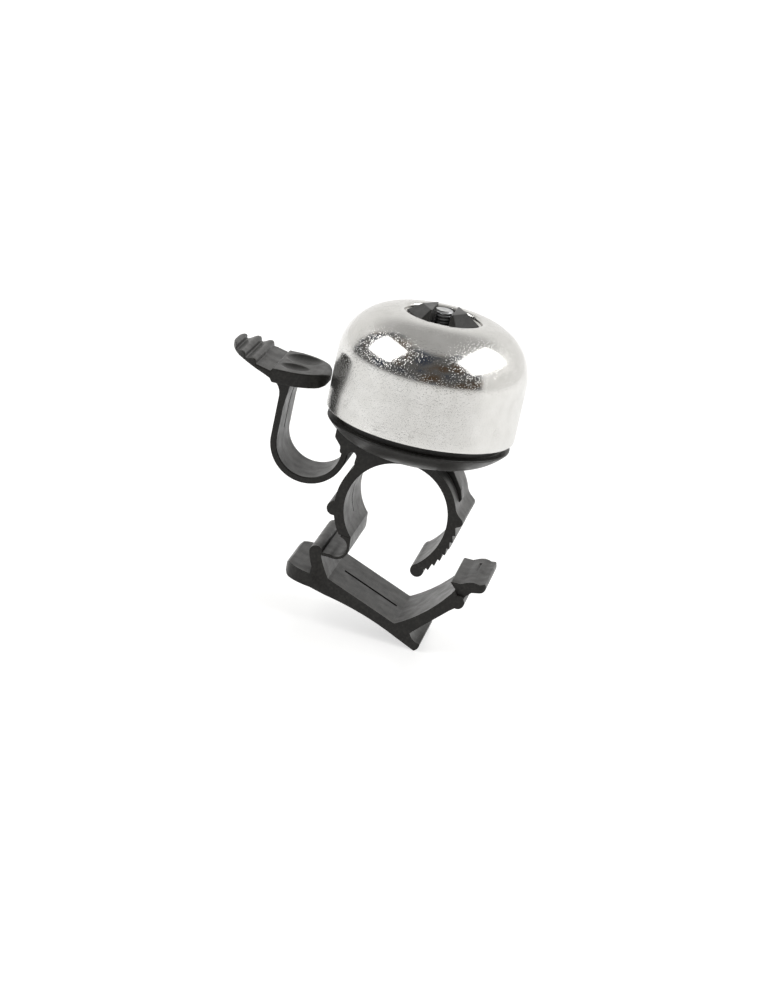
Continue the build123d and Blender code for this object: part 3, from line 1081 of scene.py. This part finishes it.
@dataclass
class HingeLoop:
    """Thin band that the lever swings on."""

    layout: Layout
    nylon: bpy.types.Material
    inner: float = 2.4
    wall: float = 0.6
    eye_to_arm: float = 2.8
    post_gap: float = 2.8

    def build(self) -> None:
        """Traces the band and puts it in place of the CAD loop; nothing bends it between the arm and the lever."""
        eye, outer = self.layout.eye, self.inner + self.wall
        arm_z = eye[1] + self.eye_to_arm
        right = -math.sqrt(self.layout.seat**2 - arm_z**2)
        post = eye[0] - self.post_gap
        outline = [
            (right, arm_z),
            *arc(eye, outer, 8, -100, 9),
            (eye[0] - 1.2, eye[1] - outer + 0.1),
            (post, eye[1] - outer + 0.1),
            (post, eye[1] - self.inner + 0.2),
            (eye[0] - 1.5, eye[1] - self.inner + 0.2),
            *arc(eye, self.inner, -114, 80, 9),
            (eye[0] + 0.45, arm_z),
        ]
        half = self.layout.arm_half
        piece = Piece.traced("hinge_loop_band", outline, -half, half).soften(0.15, 2, 50)
        piece.polish().dress(self.nylon, Slot.NYLON)
        start = (right, arm_z)
        piece.bend(("base", "lever"), start, (post, eye[1] - outer), "hinge_loop")


@dataclass
class ClaspArm:
    """Toothed arm on the right of the seat, with the web at its root that bends."""

    layout: Layout
    nylon: bpy.types.Material
    wall: float = 1.9
    half: float = 9.0
    teeth: int = 7
    first_tooth: float = -7.7
    tooth_pitch: float = 6.9      # degrees from tip to tip
    tooth_height: float = 0.65
    end_angle: float = -58.0
    opening: float = 0.9         # how far the free end stands off the seat's circle
    opening_start: float = 5.0   # degrees where it starts to open
    root_start: float = 78.0
    root_end: float = 62.0
    bead: float = 1.6
    dish_clear: float = 0.5
    gusset_span: tuple[float, float] = (-4.0, -0.8)

    def track(self, radius: float, degrees: float) -> Corner:
        """Returns a point on the arm, which opens out towards its free end."""
        run = self.opening_start - self.end_angle
        share = max(0.0, min(1.0, (self.opening_start - degrees) / run))
        return polar(radius + self.opening * share**2, degrees)

    def arm(self) -> None:
        """Traces the arm tooth by tooth, with the stop bead's long shoulder."""
        seat, outer = self.layout.seat, self.layout.seat + self.wall
        inner = [self.track(seat, a) for a in range(round(self.end_angle), 60, 4)]
        outline = [*inner, polar(seat, self.root_end)]
        outline += arc((0, 0), outer, self.root_end, 17, 4)
        shoulder = ((14.5, 0.15), (12.0, 0.45), (9.5, 0.95), (7.5, 1.4), (5.5, 1.6), (3.5, 1.5))
        outline += [polar(outer + lift, angle) for angle, lift in shoulder]
        outline += [polar(outer + 1.1, 1.8), polar(outer + 0.5, 0.6), polar(outer + 0.1, -0.4)]
        for tooth in range(self.teeth):
            tip = self.first_tooth + tooth * -self.tooth_pitch
            outline.append(self.track(outer + self.tooth_height, tip))
            outline.append(self.track(outer, tip - 0.6))
        outline.append(self.track(outer, self.end_angle))
        body = Piece.traced("toothed_arm_moulded", outline, -self.half, self.half)
        middle = self.track(seat + self.wall / 2 + 0.45, self.end_angle - 0.5)
        end = arc(middle, self.bead - 0.1, 0, 340, 20)
        body.weld(Piece.traced("end_bead", end, -self.half, self.half))
        body.heal(0.01).flatten().soften(0.22, 2, 40)
        body.weld(self.gusset())
        body.polish().dress(self.nylon, Slot.NYLON).mount("clasp_arm", "toothed_arm")

    def gusset(self) -> Piece:
        """Traces the rib that braces the arm's root."""
        outer = self.layout.seat + self.wall
        top = self.layout.seat + self.dish_clear - 0.3
        outline = rounded(
            [
                (*polar(outer - 0.6, 58), 0),
                (polar(outer, 45)[0], top, 0),
                (*polar(outer + 1.0, 30), 1.5),
                (*polar(outer + 0.7, 21), 0.8),
                (*polar(outer - 0.1, 18), 0),
                (*polar(outer - 0.6, 26), 0),
            ]
        )
        return Piece.traced("root_gusset", outline, *self.gusset_span).soften(0.3, 2)

    def flexure(self) -> None:
        """Traces the root web and puts it in place of the CAD flexure; nothing bends it between the base and the
        arm.
        """
        seat, outer = self.layout.seat, self.layout.seat + self.wall
        ceiling = seat + self.dish_clear
        meet = math.degrees(math.asin(ceiling / outer))
        outline = [
            *arc((0, 0), seat, self.root_start, self.root_end, 3),
            polar(outer, self.root_end),
            polar(outer, meet),
            (ceiling / math.tan(math.radians(self.root_start)), ceiling),
        ]
        web = Piece.traced("arm_flexure_web", outline, -self.half, self.half).polish()
        web.dress(self.nylon, Slot.NYLON)
        middle = seat + self.wall / 2
        start, end = polar(middle, self.root_start), polar(middle, self.root_end)
        web.bend(("base", "clasp_arm"), start, end, "arm_flexure")

    def build(self) -> None:
        """Builds the arm and its web."""
        self.arm()
        self.flexure()


@dataclass
class Hammer:
    """Sprung thumb hammer: leaf spring, leg, dished striker tongue and ridged thumb pad."""

    layout: Layout
    nylon: bpy.types.Material
    spring_inner: float = 7.3
    spring_wall: float = 1.45
    spring_half: float = 6.9
    head_lift: float = 3.0       # underside of the head above the dome's rim
    head_wall: float = 3.1
    head_half: float = 9.2
    head_root: float = 11.9
    strike_gap: float = 0.4
    pad_half: float = 9.5
    pad_length: float = 10.6
    pad_shoulder: float = 2.7
    pad_rise: float = 2.4
    pad_step: float = 0.5
    ridge_start: float = 4.1
    ridge_pitch: float = 2.8
    ridges: int = 3
    ridge_height: float = 0.95
    grain: float = 0.15

    @property
    def tip(self) -> float:
        """X of the striker's tip."""
        return -(self.layout.dome_radius + self.strike_gap)

    @property
    def step(self) -> float:
        """X of the step between the tongue and the pad."""
        return self.tip - self.head_root

    @property
    def bottom(self) -> float:
        """Height of the head's underside."""
        return self.layout.rim + self.head_lift

    def pad_top(self, run: float) -> float:
        """Returns the height of the pad's top at a distance from the step."""
        share = run / self.pad_length
        rise = self.pad_rise * (0.9 * share + 0.1 * share**2)
        return self.bottom + self.head_wall - self.pad_step - 0.1 + rise

    def head_outline(self) -> list[Corner]:
        """Returns the head's side outline: tongue, step, ridges, tip and underside."""
        tip, step, low = self.tip, self.step, self.bottom
        top = low + self.head_wall
        outline = [
            (step + 0.25, top - 0.05),
            (step + 3.0, top + 0.05),
            (tip - 1.4, top + 0.05),
            (tip - 0.5, top - 0.25),
            (tip, top - 0.9),
            (tip, low + 1.0),
            (tip - 0.5, low + 0.3),
            (tip - 1.4, low),
            (step + 0.6, low),
            (step - 0.1, low + 0.95),
            (step - 1.8, low + 1.65),
            (step - 3.2, low + 2.15),
            (step - 4.8, low + 2.75),
            (step - 6.6, low + 3.3),
            (step - 8.2, low + 3.65),
            (step - 9.7, low + 4.1),
            (step - self.pad_length + 0.3, low + 4.45),
            (step - self.pad_length, low + 4.9),
            (step - self.pad_length, self.pad_top(self.pad_length) + 0.2),
        ]
        bumps = ((1.15, 0.35), (0.6, 0.8), (0.1, 1.0), (-0.35, 0.95), (-0.6, 0.6), (-0.72, -0.2))
        for ridge in reversed(range(self.ridges)):
            peak = self.ridge_start + ridge * self.ridge_pitch
            for offset, lift in bumps:
                run = peak + offset
                if run < self.pad_length:
                    height = self.pad_top(run) + lift * self.ridge_height
                    outline.append((step - run, height))
            foot = peak - 1.15
            outline.append((step - foot, self.pad_top(foot)))
        outline += [(step - 0.25, self.pad_top(0.25)), (step - 0.02, self.pad_top(0.1) - 0.25)]
        return outline

    def head(self) -> Piece:
        """Traces the head and trims it to its plan."""
        plan_centre = (self.step - self.pad_shoulder, 0.0)
        long_half = self.pad_length - self.pad_shoulder
        pad = [
            (
                plan_centre[0] + long_half * math.cos(math.radians(a)),
                self.pad_half * math.sin(math.radians(a)),
            )
            for a in range(90, 271, 6)
        ]
        nose = arc((self.tip - self.head_half, 0.0), self.head_half, -90, 90, 5)
        plan = [*pad, (self.step, -self.pad_half), (self.step, -self.head_half), *nose]
        plan += [(self.step, self.head_half), (self.step, self.pad_half)]
        body = Piece.traced("hammer_moulded", self.head_outline(), -12.0, 12.0)
        low, high = self.bottom - 2, self.bottom + 12
        return body.trim(Piece.traced("head_plan", plan, low, high, Drawing.TOP))

    def leg(self) -> Piece:
        """Traces the leg, which flares into the head."""
        outer = self.layout.spring[0] - self.spring_inner - self.spring_wall
        inner = self.layout.spring[0] - self.spring_inner
        foot, low = self.layout.spring[1] - 1.0, self.bottom
        flare = arc((outer - 3.6, low - 3.2), 3.6, 0, 75, 13)
        outline = [
            (inner, foot),
            (inner, low - 6.0),
            (inner + 0.15, low - 4.0),
            (inner + 0.4, low - 2.2),
            *arc((inner + 1.6, low - 1.15), 1.15, 170, 90, 16),
            (inner + 1.6, low + 1.0),
            (self.step + 0.9, low + 1.0),
            *reversed(flare),
            (outer, foot),
        ]
        return Piece.traced("hammer_leg", outline, -self.spring_half, self.spring_half)

    def dimples(self) -> list[Piece]:
        """Returns the two thumb hollows in the tongue's top."""
        top = self.bottom + self.head_wall + 0.05
        large = Piece.ball(
            "hollow_large", Vector((self.step + 4.7, 3.9, top + 1.25)), Vector((5.1, 4.9, 2.2))
        )
        small = Piece.ball(
            "hollow_small", Vector((self.step + 4.3, -4.0, top + 1.4)), Vector((4.5, 3.4, 2.1))
        )
        return [large, small]

    def leg_groove(self) -> Piece:
        """Traces the mould groove down the leg's inner face."""
        inner = self.layout.spring[0] - self.spring_inner
        low, high = self.layout.spring[1] + 0.6, self.bottom - 0.4
        outline = [(inner - 0.4, low), (inner + 1.0, low), (inner + 1.0, high), (inner - 0.4, high)]
        return Piece.traced("leg_groove", outline, -0.3, 0.3)

    def spring(self) -> None:
        """Traces the leaf spring and puts it in place of the CAD spring; nothing bends it between the base and the
        hammer.
        """
        x, z = self.layout.spring
        outer = self.spring_inner + self.spring_wall
        outline = [
            (x - outer, z + 1.0),
            *arc((x, z), outer, 180, 360, 5),
            (x + outer, z + 1.0),
            (x + self.spring_inner, z + 1.0),
            *arc((x, z), self.spring_inner, 360, 180, 5),
            (x - self.spring_inner, z + 1.0),
        ]
        leaf = Piece.traced("hammer_spring_leaf", outline, -self.spring_half, self.spring_half)
        leaf.soften(0.25).cut(Vector((0, 0, z)), Vector((0, 0, 1)))
        leaf.polish().dress(self.nylon, Slot.NYLON)
        start, end = (x + self.spring_inner, z), (x - self.spring_inner, z)
        leaf.bend(("base", "hammer"), start, end, "hammer_spring")

    def build(self) -> None:
        """Builds the hammer and its spring."""
        body = self.head().weld(self.leg())
        for hollow in self.dimples():
            body.carve(hollow)
        body.carve(self.leg_groove())
        body.mould(self.grain, 5)
        body.cut(Vector((0, 0, self.layout.spring[1])), Vector((0, 0, -1)))
        body.hold()
        bpy.ops.object.shade_smooth_by_angle(angle=math.radians(50))
        body.dress(self.nylon, Slot.NYLON)
        body.mount("hammer", "hammer_leg", "striker", "thumb_pad", "grip_ridges")
        self.spring()


@dataclass
class Lever:
    """Clamp lever: post, strap, latch arm with its hook, heel and thumb tabs, moulded in one."""

    layout: Layout
    nylon: bpy.types.Material
    half: float = 10.25
    heel_half: float = 7.5
    pull_half: float = 9.3
    post_gap: float = 2.8
    post_wall: float = 2.8
    tab_length: float = 6.2
    tab_wall: float = 2.9
    tab_corner: float = 5.0
    bead: float = 1.5
    edge: float = 0.32

    def bar(self) -> Piece:
        """Traces the post, strap and latch arm, with the heel under them."""
        around = self.layout.around
        x, z = self.layout.eye
        face = x - self.post_gap
        back = face - self.post_wall
        foot, valley = around(10.54, -119.5), around(13.60, -78.5)
        strap_right = around(16.84, -77.7)
        post_top = ((back, z - 2.4), (face - self.post_wall / 2, z - 0.9), (face, z - 2.0))
        outline = [
            (face, z - 2.0),
            *arc_through((face, z - 3.0), around(9.18, -128.1), foot, 6)[:-1],
            *rounded([(*foot, 0.8), (*valley, 0.7), (*around(12.6, -70.0), 0)])[5:10],
            *arc_through(valley, around(10.98, -55.7), around(9.91, -39.7), 12)[1:],
            around(13.38, -42.1),
            around(13.12, -48.6),
            around(14.75, -66.1),
            around(15.86, -71.2),
            *arc_through(strap_right, around(12.89, -97.1), around(13.47, -117.3), 12),
            around(14.57, -125.3),
            around(12.56, -130.9),
            *arc_through(around(11.23, -133.6), around(10.52, -138.2), (back, z - 2.4), 4),
            *arc_through(*post_top, 8)[1:-1],
        ]
        body = Piece.traced("lever_moulded", outline, -self.half, self.half)
        bead_at = around(13.38, -42.1)
        bead = arc((bead_at[0] - 0.8, bead_at[1] + 0.5), self.bead, 0, 340, 20)
        body.weld(Piece.traced("latch_bead", bead, -self.half, self.half)).weld(self.heel())
        return body.heal(0.01).flatten().soften(self.edge)

    def thumb_tab(self) -> Piece:
        """Traces the short tab behind the post and rounds its corners in plan."""
        root, low = self.layout.around(12.56, -130.9), self.layout.around(14.57, -125.3)
        left = root[0] - self.tab_length
        outline = [
            (low[0] + 1.0, low[1] + 0.3),
            (root[0] + 1.0, root[1] - 0.6),
            root,
            *arc_through(
                (left + 0.9, root[1] + 0.8),
                (left, root[1] - 0.5),
                (left + 1.2, root[1] - self.tab_wall + 0.5),
                8,
            ),
            low,
        ]
        tab = Piece.traced("thumb_tab", outline, -self.half, self.half)
        plan = rounded(
            [
                (left, -self.half, self.tab_corner * 1.2),
                (left, self.half, self.tab_corner * 1.2),
                (0.0, self.half, 0),
                (0.0, -self.half, 0),
            ],
            8,
        )
        tab.trim(Piece.traced("tab_plan", plan, low[1] - 5, low[1] + 10, Drawing.TOP))
        return tab.heal(0.01).flatten().soften(self.edge, 3, 42)

    def heel(self) -> Piece:
        """Traces the heel under the latch arm, flush with one side and short of the other."""
        around = self.layout.around
        outline = [
            around(16.0, -78.6),
            around(15.0, -72.0),
            around(15.86, -71.2),
            *arc_through(around(15.86, -71.2), around(17.13, -70.5), around(18.55, -67.6), 5)[1:],
            *arc_through(around(18.55, -67.6), around(19.50, -68.7), around(19.88, -70.6), 6)[1:],
            around(16.84, -77.7),
        ]
        return Piece.traced("lever_heel", outline, -self.half, self.heel_half)

    def pull_tab(self) -> Piece:
        """Traces the hook and the waved tab that the finger lifts."""
        around = self.layout.around
        wave = [
            around(9.71, -35.0),
            around(10.05, -33.4),
            around(10.38, -31.9),
            around(10.85, -30.4),
            around(11.47, -29.0),
            around(12.15, -28.3),
            around(12.80, -27.8),
        ]
        outline = [
            around(10.3, -41.5),
            around(9.91, -39.7),
            around(8.08, -39.2),
            around(8.11, -38.3),
            *wave,
            *arc_through(around(13.60, -25.8), around(14.41, -27.5), around(14.12, -30.9), 8),
            around(12.73, -34.0),
            around(12.48, -37.7),
            around(12.9, -42.0),
        ]
        tab = Piece.traced("pull_tab", outline, -self.pull_half, self.pull_half)
        right, low = around(14.41, -27.5)
        plan = rounded(
            [
                (0.0, -self.pull_half, 0),
                (0.0, self.pull_half, 0),
                (right + 0.1, self.pull_half, 3.2),
                (right + 0.1, -self.pull_half, 1.2),
            ],
            6,
        )
        tab.trim(Piece.traced("pull_plan", plan, low - 10, low + 10, Drawing.TOP))
        crease = [around(9.9, -31.0), around(11.4, -29.0), around(11.2, -30.4)]
        tab.carve(Piece.traced("crease", crease, -0.2, 5.5).soften(0.1, 2))
        return tab.heal(0.01).flatten().soften(self.edge, 3, 36)

    def strap_groove(self) -> Piece:
        """Traces the long mould groove in the strap's inner face."""
        around = self.layout.around
        start, end = around(10.9, -116.0), around(13.0, -81.5)
        run = Vector(end) - Vector(start)
        down = Vector((run.y, -run.x)).normalized()
        floor = [Vector(point) + down * 0.45 for point in (end, start)]
        top = [Vector(point) - down * 1.2 for point in (start, end)]
        outline = [(p.x, p.y) for p in (*top, *floor)]
        return Piece.traced("strap_groove", outline, -0.45, 0.45)

    def build(self) -> None:
        """Welds the lever together and mounts it."""
        body = self.bar()
        for part in (self.thumb_tab(), self.pull_tab()):
            body.weld(part)
        body.carve(self.strap_groove()).heal()
        body.polish(32).dress(self.nylon, Slot.NYLON)
        body.mount(
            "lever", "lever_post", "thumb_tab", "lever_strap", "latch_arm", "heel", "pull_tab"
        )


# ---- studio ----------------------------------------------------------------------------------


@dataclass(frozen=True)
class Softbox:
    """A square soft light, placed by its direction from the object."""

    name: str
    azimuth: float
    elevation: float
    width: float
    height: float
    power: float
    distance: float = 0.9

    def build(self, target: Vector) -> None:
        """Adds the light, aimed at the target."""
        side, up = math.radians(self.azimuth), math.radians(self.elevation)
        away = Vector(
            (math.sin(side) * math.cos(up), -math.cos(side) * math.cos(up), math.sin(up))
        )
        data = bpy.data.lights.new(self.name, "AREA")
        data.shape = "RECTANGLE"
        data.size, data.size_y, data.energy = self.width, self.height, self.power
        lamp = bpy.data.objects.new(self.name, data)
        lamp.location = target + away * self.distance
        lamp.rotation_euler = away.to_track_quat("Z", "Y").to_euler()
        bpy.context.scene.collection.objects.link(lamp)


@dataclass
class Studio:
    """Lit white table, a bright room with a darker side by the camera, soft lights, camera."""

    layout: Layout
    azimuth: float = 6.912
    elevation: float = 17.294
    roll: float = 12.190
    distance: float = 634.17
    target: tuple[float, float, float] = (-4.57, -5.63, 2.71)
    focal: float = 105.92
    floor_size: float = 9.0
    room: float = 1.0
    dark_room: float = 0.13
    dark_way: tuple[float, float, float] = (-0.30, -0.954, 0.0)     # middle of the dark side
    ceiling: float = 0.50
    clutter_size: float = 3.2

    def camera(self) -> None:
        """Adds the camera."""
        data = bpy.data.cameras.new("camera")
        data.lens, data.sensor_width, data.clip_start = self.focal, 36.0, 0.01
        turn = (
            Matrix.Rotation(math.radians(self.azimuth), 4, "Z")
            @ Matrix.Rotation(math.radians(90 - self.elevation), 4, "X")
            @ Matrix.Rotation(math.radians(self.roll), 4, "Z")
        )
        away = turn.to_3x3() @ Vector((0, 0, self.distance))
        camera = bpy.data.objects.new("camera", data)
        camera.matrix_world = Matrix.Translation((Vector(self.target) + away) * MM) @ turn
        bpy.context.scene.collection.objects.link(camera)
        bpy.context.scene.camera = camera

    def floor(self) -> None:
        """Adds the lit table under the heel."""
        bpy.ops.object.select_all(action="DESELECT")
        bpy.ops.mesh.primitive_plane_add(
            size=self.floor_size, location=(0, 0, self.layout.floor * MM)
        )
        table = bpy.context.object
        table.name = "floor_table"
        table.data.materials.append(OpalTable().material())

    def room_light(self) -> None:
        """Lights the room: bright all round, dark beside the camera, grey overhead."""
        world = bpy.data.worlds.new("studio_room")
        bpy.context.scene.world = world
        world.use_nodes = True
        tree = world.node_tree
        tree.nodes.clear()
        way = node(tree, "ShaderNodeTexCoord").outputs["Generated"]
        up = node(tree, "ShaderNodeSeparateXYZ", {0: way}).outputs["Z"]
        level = node(
            tree, "ShaderNodeVectorMath", {0: way, 1: (1.0, 1.0, 0.0)}, operation="MULTIPLY"
        ).outputs[0]
        level = node(tree, "ShaderNodeVectorMath", {0: level}, operation="NORMALIZE").outputs[0]
        front = node(
            tree,
            "ShaderNodeVectorMath",
            {0: level, 1: self.dark_way},
            operation="DOT_PRODUCT",
        ).outputs["Value"]
        facing = fade(tree, front, (-0.06, 0.08), smooth=True)
        below = fade(tree, up, (0.95, 0.84), smooth=True)
        dark = product(tree, facing, below)
        high = fade(tree, up, (0.45, 0.85), (self.room, self.ceiling), smooth=True)
        glow = node(
            tree,
            "ShaderNodeMix",
            {0: dark, 2: high, 3: self.dark_room},
            data_type="FLOAT",
        ).outputs[0]
        clutter = noise(tree, way, self.clutter_size, 3.0)
        warm = product(tree, fade(tree, clutter, (0.52, 0.62)), dark)
        cool = product(tree, fade(tree, clutter, (0.46, 0.38)), dark)
        hue = tinted(tree, cool, tinted(tree, warm, "#FFFEFC", "#D9B48F"), "#9BA9C4")
        shade = node(tree, "ShaderNodeBackground", {"Color": hue, "Strength": glow}).outputs[0]
        node(tree, "ShaderNodeOutputWorld", {"Surface": shade})

    def build(self) -> None:
        """Sets up the studio."""
        self.camera()
        self.floor()
        self.room_light()
        centre = Vector((0.0, 0.0, 20.0)) * MM
        Softbox("softbox_left", -66.0, 36.0, 0.56, 0.52, 5.0).build(centre)
        Softbox("softbox_right", 92.0, 46.0, 0.95, 0.50, 5.0).build(centre)
        bpy.context.scene.view_settings.view_transform = "Standard"


def main() -> None:
    """Builds the studio, then each sub-assembly."""
    logging.basicConfig(level=logging.INFO, format="%(name)s: %(message)s")
    layout = Layout.read()
    log.info("layout: %s", layout)
    Studio(layout).build()
    nylon, steel = MouldedNylon().material(), ZincSteel().material()
    BellDome(layout).build()
    SnapTop(layout, nylon, steel).build()
    BaseMoulding(layout, nylon).build()
    HingeLoop(layout, nylon).build()
    ClaspArm(layout, nylon).build()
    Hammer(layout, nylon).build()
    Lever(layout, nylon).build()
    post = Piece(frame["nodes"]["centre_post"])
    post.obj.data.materials.clear()
    post.obj.data.materials.append(nylon)


if __name__ == "__main__":
    main()
